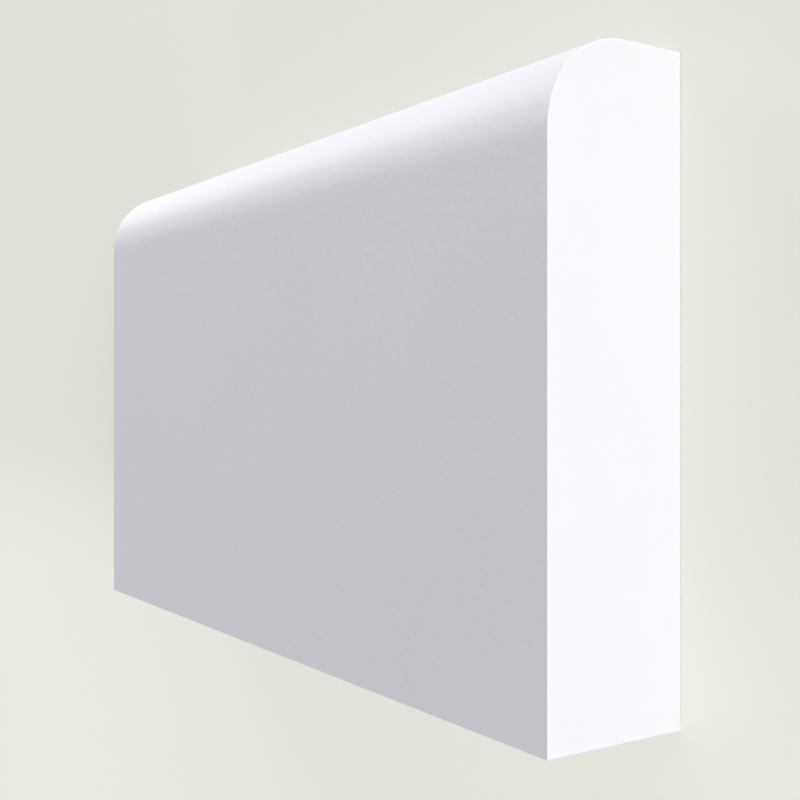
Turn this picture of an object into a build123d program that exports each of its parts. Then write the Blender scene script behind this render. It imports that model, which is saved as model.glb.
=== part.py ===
from build123d import *
import os

# Dado rail: one straight length of wall moulding, square at the foot and rounded at the nose.
# It lies on its wall face. X runs along the rail, +Y points up the wall to the nose, and +Z points out of the
# wall to the front face. The origin is the middle of the wall face.

# Driving dimensions, in millimetres
rail_length = 116.5  # end to end, along the wall
rail_height = 70.0  # foot to top edge, up the wall
rail_thickness = 18.0  # wall face to front face
nose_radius = 10.0  # round that joins the front face to the top edge
arris_radius = 0.1  # easing of every other edge, as sanding and paint leave it


def section():
    """The moulding's section, lying on its wall face, with its upper front corner rounded to the nose."""
    board = Rectangle(rail_height, rail_thickness, align=(Align.CENTER, Align.MIN))
    upper_front_corner = board.vertices().sort_by(lambda corner: corner.X + corner.Y)[-1]
    return fillet(upper_front_corner, nose_radius)


def moulded_length():
    """The section run along X and cut square at both ends."""
    return extrude(Plane.YZ * section(), rail_length / 2, both=True)


def eased(rail):
    """The rail with its sharp edges rounded. The nose runs smoothly into its faces, so those lines stay."""
    nose = rail.faces().filter_by(GeomType.CYLINDER)
    run_out_lines = nose.edges().filter_by(Axis.X)
    return fillet(rail.edges() - run_out_lines, arris_radius)


dado_rail = eased(moulded_length())
dado_rail.label = "dado_rail"

os.makedirs("parts", exist_ok=True)
export_step(dado_rail, "parts/dado_rail.step")

size = dado_rail.bounding_box().size
print(f"dado_rail {size.X:.2f} x {size.Y:.2f} x {size.Z:.2f} mm, {dado_rail.volume:.0f} cubic mm")
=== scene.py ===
# %% [markdown]
# # A short length of dado rail
#
# A dado rail is the moulding that runs along a wall at about the height of a chair's back. This one is a
# board of 18 mm with a square foot, a nose that is rounded over, and matt white paint. The rail lies on
# its wall face, so its front face looks up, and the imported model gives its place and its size. Everything
# below dresses that model: a smoother mesh, the paint, a pale floor, soft light and the camera.

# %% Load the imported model
import math

import bmesh
import bpy
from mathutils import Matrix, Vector


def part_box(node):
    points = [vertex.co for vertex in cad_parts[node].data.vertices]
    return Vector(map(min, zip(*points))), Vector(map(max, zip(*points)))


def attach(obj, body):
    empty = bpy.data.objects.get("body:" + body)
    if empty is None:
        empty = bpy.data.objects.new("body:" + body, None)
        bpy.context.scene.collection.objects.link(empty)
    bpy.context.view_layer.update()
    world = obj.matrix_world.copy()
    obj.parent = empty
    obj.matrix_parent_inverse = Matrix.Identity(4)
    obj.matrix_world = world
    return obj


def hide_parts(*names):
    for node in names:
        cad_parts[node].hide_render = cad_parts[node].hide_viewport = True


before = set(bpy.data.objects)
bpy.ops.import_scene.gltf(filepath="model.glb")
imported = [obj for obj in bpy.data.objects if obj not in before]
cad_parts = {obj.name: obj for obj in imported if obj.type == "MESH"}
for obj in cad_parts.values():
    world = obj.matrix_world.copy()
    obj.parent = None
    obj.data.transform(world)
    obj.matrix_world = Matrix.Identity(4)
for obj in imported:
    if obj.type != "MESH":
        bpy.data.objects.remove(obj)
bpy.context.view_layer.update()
print("packed nodes:", sorted(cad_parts))

# %% [markdown]
# ## Sizes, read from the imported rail
#
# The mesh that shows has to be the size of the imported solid, so its sizes are read from that solid and
# not typed in again. The box gives length, height and thickness. Two radii remain. The front face ends
# where the nose begins, so the nose's radius is what is left between there and the top edge. The foot
# begins above the wall face by the radius of its eased edge.

# %% Read the nose and the eased edges
MM_PER_M = 1000.0

rail_low, rail_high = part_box("dado_rail")
rail_size = rail_high - rail_low
rail_middle = (rail_low + rail_high) / 2
solid_points = [vertex.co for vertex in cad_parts["dado_rail"].data.vertices]
on_the_plane = 1e-6  # metres

front_face_top = max(point.y for point in solid_points if point.z > rail_high.z - on_the_plane)
nose_radius = rail_high.y - front_face_top
foot_start = min(point.z for point in solid_points if point.y < rail_low.y + on_the_plane)
arris_radius = foot_start - rail_low.z
print(f"nose radius {nose_radius * MM_PER_M:.2f} mm, eased edges {arris_radius * MM_PER_M:.2f} mm")

# %% [markdown]
# ## The rail's mesh
#
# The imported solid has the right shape, but its nose is a row of flat strips, and each of its faces keeps
# normals of its own, so light breaks along the line where the front face turns into the nose. A moulder
# would plane the board square and then run one cutter along its edge, and the mesh is made in the same
# order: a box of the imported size, a wide bevel for the nose, and a fine bevel for each edge that is still
# sharp.

# %% Plane the board square
board = bmesh.new()
bmesh.ops.create_cube(board, size=1.0)
bmesh.ops.scale(board, vec=rail_size, verts=board.verts)
bmesh.ops.translate(board, vec=rail_middle, verts=board.verts)
board_length, board_height, board_thickness = rail_size * MM_PER_M
print(f"board {board_length:.1f} x {board_height:.1f} x {board_thickness:.1f} mm")

# %% Run the nose along the upper front edge
nose_steps = 32


def middle(edge):
    """The point halfway along an edge."""
    return (edge.verts[0].co + edge.verts[1].co) / 2


upper_front_edge = max(board.edges, key=lambda edge: middle(edge).y + middle(edge).z)
nose_cut = bmesh.ops.bevel(
    board, geom=[upper_front_edge], offset=nose_radius, offset_type="OFFSET", segments=nose_steps,
    profile=0.5, affect="EDGES", material=-1,
)
print(f"nose: {len(nose_cut['faces'])} strips")

# %% Ease the edges that are still sharp
arris_steps = 4
sharp_turn = math.radians(45)

sharp_edges = [edge for edge in board.edges if edge.calc_face_angle() > sharp_turn]
arrises = bmesh.ops.bevel(
    board, geom=sharp_edges, offset=arris_radius, offset_type="OFFSET", segments=arris_steps,
    profile=0.5, affect="EDGES", material=-1,
)
print(f"eased edges: {len(sharp_edges)} edges, {len(arrises['faces'])} faces")

# %% [markdown]
# ## Which face gets which finish
#
# One tin of paint covers the rail, but it dries over three kinds of ground: the moulded faces, the sawn
# ends and the wall face, which gets a thin coat only. Three objects could carry the three finishes, but
# the rail is one piece. So each finish is a material slot of the one mesh, and a face finds its slot by
# the way it points.

# %% Sort the faces
MOULDED, SAWN, WALL = range(3)
nearly_square = 0.99  # cosine of the angle to an axis

for face in board.faces:
    face.smooth = True
    if abs(face.normal.x) > nearly_square:
        face.material_index = SAWN
    elif face.normal.z < -nearly_square:
        face.material_index = WALL
    else:
        face.material_index = MOULDED
kinds = [face.material_index for face in board.faces]
print("faces moulded, sawn, wall:", [kinds.count(kind) for kind in (MOULDED, SAWN, WALL)])

# %% [markdown]
# ## Smooth shading that keeps flat faces flat
#
# Smooth shading averages the normals of the faces round a vertex. Beside a fine bevel that tilts the
# normals of a large flat face too, and the face looks swollen. Weighting each face by its area cures it:
# the large face sets the normal, and the thin strips take up the whole turn.

# %% Make the rail object
def area_weighted_normals(shape):
    """One normal for each vertex, set mostly by the largest face there."""
    normals = []
    for vertex in shape.verts:
        weighted = [face.normal * face.calc_area() for face in vertex.link_faces]
        normals.append(sum(weighted, Vector()).normalized())
    return normals


rail_mesh = bpy.data.meshes.new("painted_rail")
rail_normals = area_weighted_normals(board)
board.to_mesh(rail_mesh)
board.free()
rail_mesh.normals_split_custom_set_from_vertices(rail_normals)

rail = bpy.data.objects.new("painted_rail", rail_mesh)
bpy.context.scene.collection.objects.link(rail)
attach(rail, "root")
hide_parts("dado_rail")
print(f"painted_rail: {len(rail_mesh.vertices)} vertices, {len(rail_mesh.polygons)} faces")

# %% [markdown]
# ## Tools for building shaders
#
# A shader tree is a list of nodes and links, and written out one by one they hide what the paint does. So
# one helper makes a node, sets what is constant and links what is not, and a few more stand on it for
# arithmetic, for a smooth step, for noise and for a colour between two colours.

# %% Node helpers
def add(tree, kind, inputs=None, **settings):
    """A new node. An input is linked if it is given a socket, and set if it is given a value."""
    node = tree.nodes.new("ShaderNode" + kind)
    for name, value in settings.items():
        setattr(node, name, value)
    for name, value in (inputs or {}).items():
        if isinstance(value, bpy.types.NodeSocket):
            tree.links.new(value, node.inputs[name])
        else:
            node.inputs[name].default_value = value
    return node


def arithmetic(tree, operation, first, second):
    """One step of arithmetic on two numbers, each a socket or a value."""
    return add(tree, "Math", {0: first, 1: second}, operation=operation).outputs[0]


def sum_of(tree, first, *others):
    """The sum of several sockets."""
    for other in others:
        first = arithmetic(tree, "ADD", first, other)
    return first


def soft_step(tree, value, start, end):
    """0 up to start, 1 from end on, and a smooth rise between them."""
    inputs = {"Value": value, "From Min": start, "From Max": end}
    return add(tree, "MapRange", inputs, interpolation_type="SMOOTHSTEP").outputs["Result"]


print("node helpers ready")

# %% [markdown]
# Relief is worked out in millimetres, because that is how a painter would measure it, and Object
# coordinates keep it fixed to the rail. Dividing a point by a size before it reaches the Noise texture
# makes blobs of about that size, and a size for each direction makes streaks.

# %% Texture helpers
MIX_FIRST, MIX_SECOND, MIX_RESULT = 6, 7, 2  # the colour sockets of a Mix node


def place_in_mm(tree):
    """The point on the object, in millimetres."""
    point = add(tree, "TexCoord").outputs["Object"]
    return add(tree, "VectorMath", {0: point, "Scale": MM_PER_M}, operation="SCALE").outputs[0]


def noise(tree, point, size, layers):
    """Soft blobs of a size, one for all directions or one for each, made up of layers that get finer."""
    place = add(tree, "VectorMath", {0: point, 1: size}, operation="DIVIDE").outputs[0]
    return add(tree, "TexNoise", {"Vector": place, "Scale": 1.0, "Detail": layers}).outputs["Fac"]


def mix_colours(tree, share, first, second):
    """A colour between two colours, by a share from 0 to 1."""
    inputs = {"Factor": share, MIX_FIRST: (*first, 1.0), MIX_SECOND: (*second, 1.0)}
    return add(tree, "Mix", inputs, data_type="RGBA").outputs[MIX_RESULT]


def new_group(name, inputs, outputs):
    """An empty node group with named number sockets, what it is given and what it results in."""
    group = bpy.data.node_groups.new(name, "ShaderNodeTree")
    for label, value in inputs.items():
        socket = group.interface.new_socket(label, in_out="INPUT", socket_type="NodeSocketFloat")
        socket.default_value = value
    for label in outputs:
        group.interface.new_socket(label, in_out="OUTPUT", socket_type="NodeSocketFloat")
    given = group.nodes.new("NodeGroupInput").outputs
    result = group.nodes.new("NodeGroupOutput").inputs
    return group, given, result


print("texture helpers ready")

# %% [markdown]
# ## The paint film
#
# Sprayed paint is never quite flat. It dries in shallow dimples about a millimetre wide, which painters
# call orange peel, and over a few centimetres it lies a little thicker or thinner, which shifts its tone
# and its sheen by a trace. A plain colour would leave the rail looking like a drawing of itself. All
# three finishes share the film, so it is a group with the widths and the depth as inputs.

# %% Group: paint film
thick_from, thin_from = 0.25, 0.75  # levels of the noise at which the coat is full and at which it is thin

paint_film, given, result = new_group(
    "paint_film", {"Peel Width": 1.2, "Peel Depth": 0.03, "Drift Width": 25.0}, ["Relief", "Drift"]
)
point = place_in_mm(paint_film)
peel = noise(paint_film, point, given["Peel Width"], layers=1.0)
relief = arithmetic(paint_film, "MULTIPLY", peel, given["Peel Depth"])
drift = noise(paint_film, point, given["Drift Width"], layers=2.0)
paint_film.links.new(relief, result["Relief"])
paint_film.links.new(soft_step(paint_film, drift, thick_from, thin_from), result["Drift"])
print("paint_film:", len(paint_film.nodes), "nodes")

# %% [markdown]
# ## What the board does to the paint
#
# The board is pressed fibre. Its two skins are dense and smooth, and its core is looser, so a cut that
# reaches the core drinks more paint and dries with a fine nap. A mask painted by hand would have to
# follow every cut. The group measures instead how far a point lies below the nearer skin, which is right
# on any face. Moulded faces also keep faint lines along their length, from the cutter and the sanding
# after it.

# %% Group: open core of the board
open_core, given, result = new_group(
    "open_core", {"Board Thickness": 18.0, "Skin": 3.0, "Nap Width": 0.4, "Nap Depth": 0.006},
    ["Relief", "Core"],
)
point = place_in_mm(open_core)
from_wall = add(open_core, "SeparateXYZ", {0: point}).outputs["Z"]
from_front = arithmetic(open_core, "SUBTRACT", given["Board Thickness"], from_wall)
below_skin = arithmetic(open_core, "MINIMUM", from_wall, from_front)
core = soft_step(open_core, below_skin, 0.0, given["Skin"])
nap = noise(open_core, point, given["Nap Width"], layers=2.0)
deep_nap = arithmetic(open_core, "MULTIPLY", nap, given["Nap Depth"])
open_core.links.new(arithmetic(open_core, "MULTIPLY", deep_nap, core), result["Relief"])
open_core.links.new(core, result["Core"])
print("open_core:", len(open_core.nodes), "nodes")

# %% Group: lines along the length
run_lines, given, result = new_group(
    "run_lines", {"Line Length": 90.0, "Line Width": 0.8, "Line Depth": 0.004}, ["Relief"]
)
point = place_in_mm(run_lines)
line_size = {"X": given["Line Length"], "Y": given["Line Width"], "Z": given["Line Width"]}
lines = noise(run_lines, point, add(run_lines, "CombineXYZ", line_size).outputs[0], layers=2.0)
run_lines.links.new(arithmetic(run_lines, "MULTIPLY", lines, given["Line Depth"]), result["Relief"])
print("run_lines:", len(run_lines.nodes), "nodes")

# %% [markdown]
# ## The three finishes
#
# Each finish is one Principled shader. The paint's colour and its roughness move between two close
# values, one for a full coat and one for a thin coat, by the film's drift and by how open the board is
# under it. The reliefs add up into one Bump, whose distance turns millimetres back into the scene's
# metres. The paint is a cool white, and it is written a little under pure white, as real white paint is.

# %% Material helpers
def group_node(tree, group, **inputs):
    """What a group puts out when it is placed in a material. An underscore in a name stands for a space."""
    node = add(tree, "Group", node_tree=group)
    for name, value in inputs.items():
        node.inputs[name.replace("_", " ")].default_value = value
    return node.outputs


def new_material(name):
    """A material with only its Principled shader: the material, its node tree and that shader."""
    material = bpy.data.materials.new(name)
    material.use_nodes = True
    return material, material.node_tree, material.node_tree.nodes["Principled BSDF"]


def finish_paint(tree, shader, colours, roughness, thinness, relief):
    """Colour and roughness between a full and a thin coat, by thinness, and the relief as a bump."""
    tree.links.new(mix_colours(tree, thinness, *colours), shader.inputs["Base Color"])
    full_coat, thin_coat = roughness
    rough = add(tree, "MapRange", {"Value": thinness, "To Min": full_coat, "To Max": thin_coat})
    tree.links.new(rough.outputs["Result"], shader.inputs["Roughness"])
    bump = add(tree, "Bump", {"Height": relief, "Distance": 1.0 / MM_PER_M, "Strength": 1.0})
    tree.links.new(bump.outputs["Normal"], shader.inputs["Normal"])


full_white = (0.855, 0.856, 0.905)
thin_white = (0.842, 0.843, 0.891)
print("paint:", full_white, "to", thin_white)

# %% [markdown]
# A cutter leaves the nose starting all at once where the flat front face ends. Sanding takes about a tenth
# of a millimetre off that line, so on a finished rail the turn begins gently. The mesh could be remodelled
# for it, but so little is relief and not shape. So the bump carries it, as one soft step across the line.

# %% Paint on the moulded faces
moulded_roughness = (0.59, 0.61)  # of a full coat and of a thin coat
sanded_depth = 0.12  # millimetres
sanded_below, sanded_above = 1.4, 2.6  # millimetres from the line where the nose starts

moulded_paint, tree, shader = new_material("white_paint_moulded")
film = group_node(tree, paint_film, Peel_Width=1.2, Peel_Depth=0.032, Drift_Width=25.0)
core = group_node(tree, open_core, Board_Thickness=board_thickness, Nap_Depth=0.006)
lines = group_node(tree, run_lines, Line_Width=0.8, Line_Depth=0.004)
nose_line = front_face_top * MM_PER_M
up_the_rail = add(tree, "SeparateXYZ", {0: place_in_mm(tree)}).outputs["Y"]
past_line = soft_step(tree, up_the_rail, nose_line - sanded_below, nose_line + sanded_above)
sanded = arithmetic(tree, "MULTIPLY", past_line, -sanded_depth)
relief = sum_of(tree, film["Relief"], core["Relief"], lines["Relief"], sanded)
finish_paint(tree, shader, (full_white, thin_white), moulded_roughness, film["Drift"], relief)
rail_mesh.materials.append(moulded_paint)
print("white_paint_moulded:", len(tree.nodes), "nodes")

# %% [markdown]
# The ends are cross-cut with a circular saw. Its teeth leave shallow arcs, all about the saw's arbor,
# which lay well above the rail, and the paint fills them without quite hiding them. Rings of a Wave
# texture about that arbor draw the arcs at their true curve, and only the small part of each ring that
# crosses the end shows.

# %% Paint on the sawn ends
sawn_roughness = (0.60, 0.68)  # of a full coat and of a thin coat
saw_arbor = (0.0, 40.0, 140.0)  # millimetres, in the rail's frame
arc_pitch = 1.1  # millimetres
arc_depth = 0.004  # millimetres
arc_wander = 1.5  # how far the rings stray from true circles
WAVE_PITCH = math.pi / 10  # the distance between rings of a Wave texture of scale 1

sawn_paint, tree, shader = new_material("white_paint_sawn")
film = group_node(tree, paint_film, Peel_Width=1.3, Peel_Depth=0.02, Drift_Width=14.0)
core = group_node(tree, open_core, Board_Thickness=board_thickness, Nap_Depth=0.010)
from_arbor = add(tree, "VectorMath", {0: place_in_mm(tree), 1: saw_arbor}, operation="SUBTRACT").outputs[0]
arc_inputs = {"Vector": from_arbor, "Scale": WAVE_PITCH / arc_pitch, "Distortion": arc_wander}
arcs = add(tree, "TexWave", arc_inputs, wave_type="RINGS", rings_direction="X").outputs["Fac"]
arc_relief = arithmetic(tree, "MULTIPLY", arcs, arc_depth)
relief = sum_of(tree, film["Relief"], core["Relief"], arc_relief)
thinness = arithmetic(tree, "MULTIPLY", film["Drift"], core["Core"])
finish_paint(tree, shader, (full_white, thin_white), sawn_roughness, thinness, relief)
rail_mesh.materials.append(sawn_paint)
print("white_paint_sawn:", len(tree.nodes), "nodes")

# %% [markdown]
# The wall face is never seen once the rail is up, so it gets one thin coat. The coat is greyer, it varies
# more, and the sanding lines show through it.

# %% Thin coat on the wall face
wall_full = (0.80, 0.80, 0.83)
wall_thin = (0.74, 0.74, 0.76)
wall_roughness = (0.70, 0.80)  # of a full coat and of a thin coat

wall_paint, tree, shader = new_material("thin_coat_wall_face")
film = group_node(tree, paint_film, Peel_Width=2.2, Peel_Depth=0.04, Drift_Width=12.0)
lines = group_node(tree, run_lines, Line_Width=0.6, Line_Depth=0.006)
relief = sum_of(tree, film["Relief"], lines["Relief"])
finish_paint(tree, shader, (wall_full, wall_thin), wall_roughness, film["Drift"], relief)
rail_mesh.materials.append(wall_paint)
print("thin_coat_wall_face:", len(tree.nodes), "nodes")

# %% [markdown]
# ## The floor
#
# A plain pale floor carries the rail and its shadow. A floor lit like the rail would come out darker than
# the pale ground that is wanted. More light would bleach the rail, so the floor adds a little light of its
# own, for the camera and for reflections only. Below the rail's foot that light is painted stronger, a
# painted pool of light that makes the ground there a touch lighter and partly lifts the rail's shadow.
# Further out the floor turns into one plain tone, which the world has too, so no horizon shows.

# %% Floor
floor_half = 3.0  # metres
floor_drop = 0.00005  # metres below the rail, so that no two faces share a plane

floor_shape = bmesh.new()
bmesh.ops.create_grid(floor_shape, x_segments=1, y_segments=1, size=floor_half)
bmesh.ops.translate(floor_shape, vec=(0, 0, rail_low.z - floor_drop), verts=floor_shape.verts)
floor_mesh = bpy.data.meshes.new("floor")
floor_shape.to_mesh(floor_mesh)
floor_shape.free()
floor = bpy.data.objects.new("floor", floor_mesh)
bpy.context.scene.collection.objects.link(floor)
print(f"floor {2 * floor_half:.0f} m square")

# %% Floor material: the light of its own
floor_colour = (0.33, 0.34, 0.307)
floor_glow = 0.716  # share of the ground's tone that the floor adds by itself
ground_tone = (0.745, 0.768, 0.693)
# painted light: below the foot the floor's glow turns lighter, a painted pool of light that partly lifts
# the rail's shadow
painted_light_tone = (0.845, 0.868, 0.788)
painted_light_start, painted_light_end = -0.005, -0.045  # metres along Y


def seen_directly(tree):
    """1 for rays that come from the camera or from a reflection, and 0 for light that bounces about."""
    rays = add(tree, "LightPath").outputs
    mirrored = arithmetic(tree, "MAXIMUM", rays["Is Glossy Ray"], rays["Is Transmission Ray"])
    return arithmetic(tree, "MAXIMUM", rays["Is Camera Ray"], mirrored)


floor_material, tree, shader = new_material("pale_floor")
shader.inputs["Base Color"].default_value = (*floor_colour, 1.0)
shader.inputs["Specular IOR Level"].default_value = 0.0
direct = seen_directly(tree)
tree.links.new(arithmetic(tree, "MULTIPLY", direct, floor_glow), shader.inputs["Emission Strength"])
point = add(tree, "TexCoord").outputs["Object"]
along_y = add(tree, "SeparateXYZ", {0: point}).outputs["Y"]
# painted pool of light below the foot, which partly lifts the rail's shadow
painted_light_share = soft_step(tree, along_y, painted_light_start, painted_light_end)
tree.links.new(mix_colours(tree, painted_light_share, ground_tone, painted_light_tone), shader.inputs["Emission Color"])
floor_mesh.materials.append(floor_material)
print("pale_floor glows:", floor_glow)

# %% Floor material: the plain ground further out
fade_start, fade_end = 0.18, 0.50  # metres from the rail

distance = add(tree, "VectorMath", {0: point}, operation="LENGTH").outputs["Value"]
far_share = arithmetic(tree, "MULTIPLY", soft_step(tree, distance, fade_start, fade_end), direct)
plain = add(tree, "Emission", {"Color": (*ground_tone, 1.0), "Strength": 1.0}).outputs[0]
faded = add(tree, "MixShader", {"Fac": far_share, 1: shader.outputs[0], 2: plain}).outputs[0]
tree.links.new(faded, tree.nodes["Material Output"].inputs["Surface"])
print("pale_floor:", len(tree.nodes), "nodes")

# %% [markdown]
# ## Light
#
# The light is plain and soft: an even dome with a trace of blue, and four broad panels. One panel faces
# the end that shows, with a trace of warmth, so that the cool paint comes out a neutral white there. One
# faces the nose. One stands beyond the far end, and its light skims along the nose towards the camera,
# which carries the bright band further down the round. The last one keeps the far faces from going dull.
# All stand low, so they brighten the ends and the nose and only graze the front face, and they stand far
# off, so that they light the whole rail alike.

# %% Dome
dome_light = 0.27
dome_colour = (0.933, 0.938, 1.0)

world = bpy.data.worlds.new("dome")
bpy.context.scene.world = world
world.use_nodes = True
tree = world.node_tree
even = tree.nodes["Background"]
even.inputs["Color"].default_value = (*dome_colour, 1.0)
even.inputs["Strength"].default_value = dome_light
ground = add(tree, "Background", {"Color": (*ground_tone, 1.0), "Strength": 1.0})
seen = add(tree, "MixShader", {"Fac": seen_directly(tree), 1: even.outputs[0], 2: ground.outputs[0]})
tree.links.new(seen.outputs[0], tree.nodes["World Output"].inputs["Surface"])
print("dome light:", dome_light)

# %% [markdown]
# A lamp's power in watts says little about the picture. So a panel is given the level of light that it
# should throw on a surface that faces it, where 1 shows a colour as it is written, and its power follows
# from that and from its distance.

# %% Panels
panel_distance = 4.0  # metres
plain_white = (1.0, 1.0, 1.0)
trace_of_warmth = (1.0, 0.99, 0.962)


def panel(name, azimuth, elevation, width, height, level, colour=plain_white):
    """A soft panel that faces the rail. Azimuth runs from +X towards +Y, and both angles are in degrees."""
    turn, lift = math.radians(azimuth), math.radians(elevation)
    towards = Vector((math.cos(turn) * math.cos(lift), math.sin(turn) * math.cos(lift), math.sin(lift)))
    light = bpy.data.lights.new(name, "AREA")
    light.shape = "RECTANGLE"
    light.size, light.size_y = width, height
    light.color = colour
    light.energy = level * math.pi**2 * panel_distance**2
    lamp = bpy.data.objects.new(name, light)
    lamp.location = rail_middle + towards * panel_distance
    lamp.rotation_mode = "QUATERNION"
    lamp.rotation_quaternion = (-towards).to_track_quat("-Z", "Y")
    lamp.visible_camera = False
    bpy.context.scene.collection.objects.link(lamp)
    print(f"{name}: {light.energy:.1f} W")


panel("end_panel", azimuth=0, elevation=10, width=3.2, height=1.4, level=0.825, colour=trace_of_warmth)
panel("nose_panel", azimuth=75, elevation=11, width=4.0, height=1.5, level=0.63)
panel("sheen_panel", azimuth=140, elevation=16, width=2.2, height=0.7, level=0.38)
panel("far_panel", azimuth=242, elevation=8, width=3.2, height=1.1, level=0.34)

# %% [markdown]
# ## The camera
#
# The picture was taken level with the middle of the rail, with the rail upright. Here the rail lies on
# its back, so the same view looks down on it, with the camera's top towards the nose. Turned about the Y
# axis by the angle between the view and the front face's normal, the camera needs no other turn.

# %% Camera
camera_lens = 53.04  # millimetres, on Blender's own sensor of 36 mm
camera_turn = math.radians(56.32)
camera_eye = Vector((0.14335, -0.00009, 0.09149))  # metres
frame_shift = -0.0094  # of the picture's width: the view's middle lies just above the picture's middle
nearest_seen = 0.005  # metres

camera_data = bpy.data.cameras.new("camera")
camera_data.lens = camera_lens
camera_data.shift_y = frame_shift
camera_data.clip_start = nearest_seen
camera = bpy.data.objects.new("camera", camera_data)
camera.location = camera_eye
camera.rotation_euler = (0.0, camera_turn, 0.0)
bpy.context.scene.collection.objects.link(camera)
bpy.context.scene.camera = camera
bpy.context.scene.view_settings.view_transform = "Standard"
print("camera at", tuple(camera_eye))
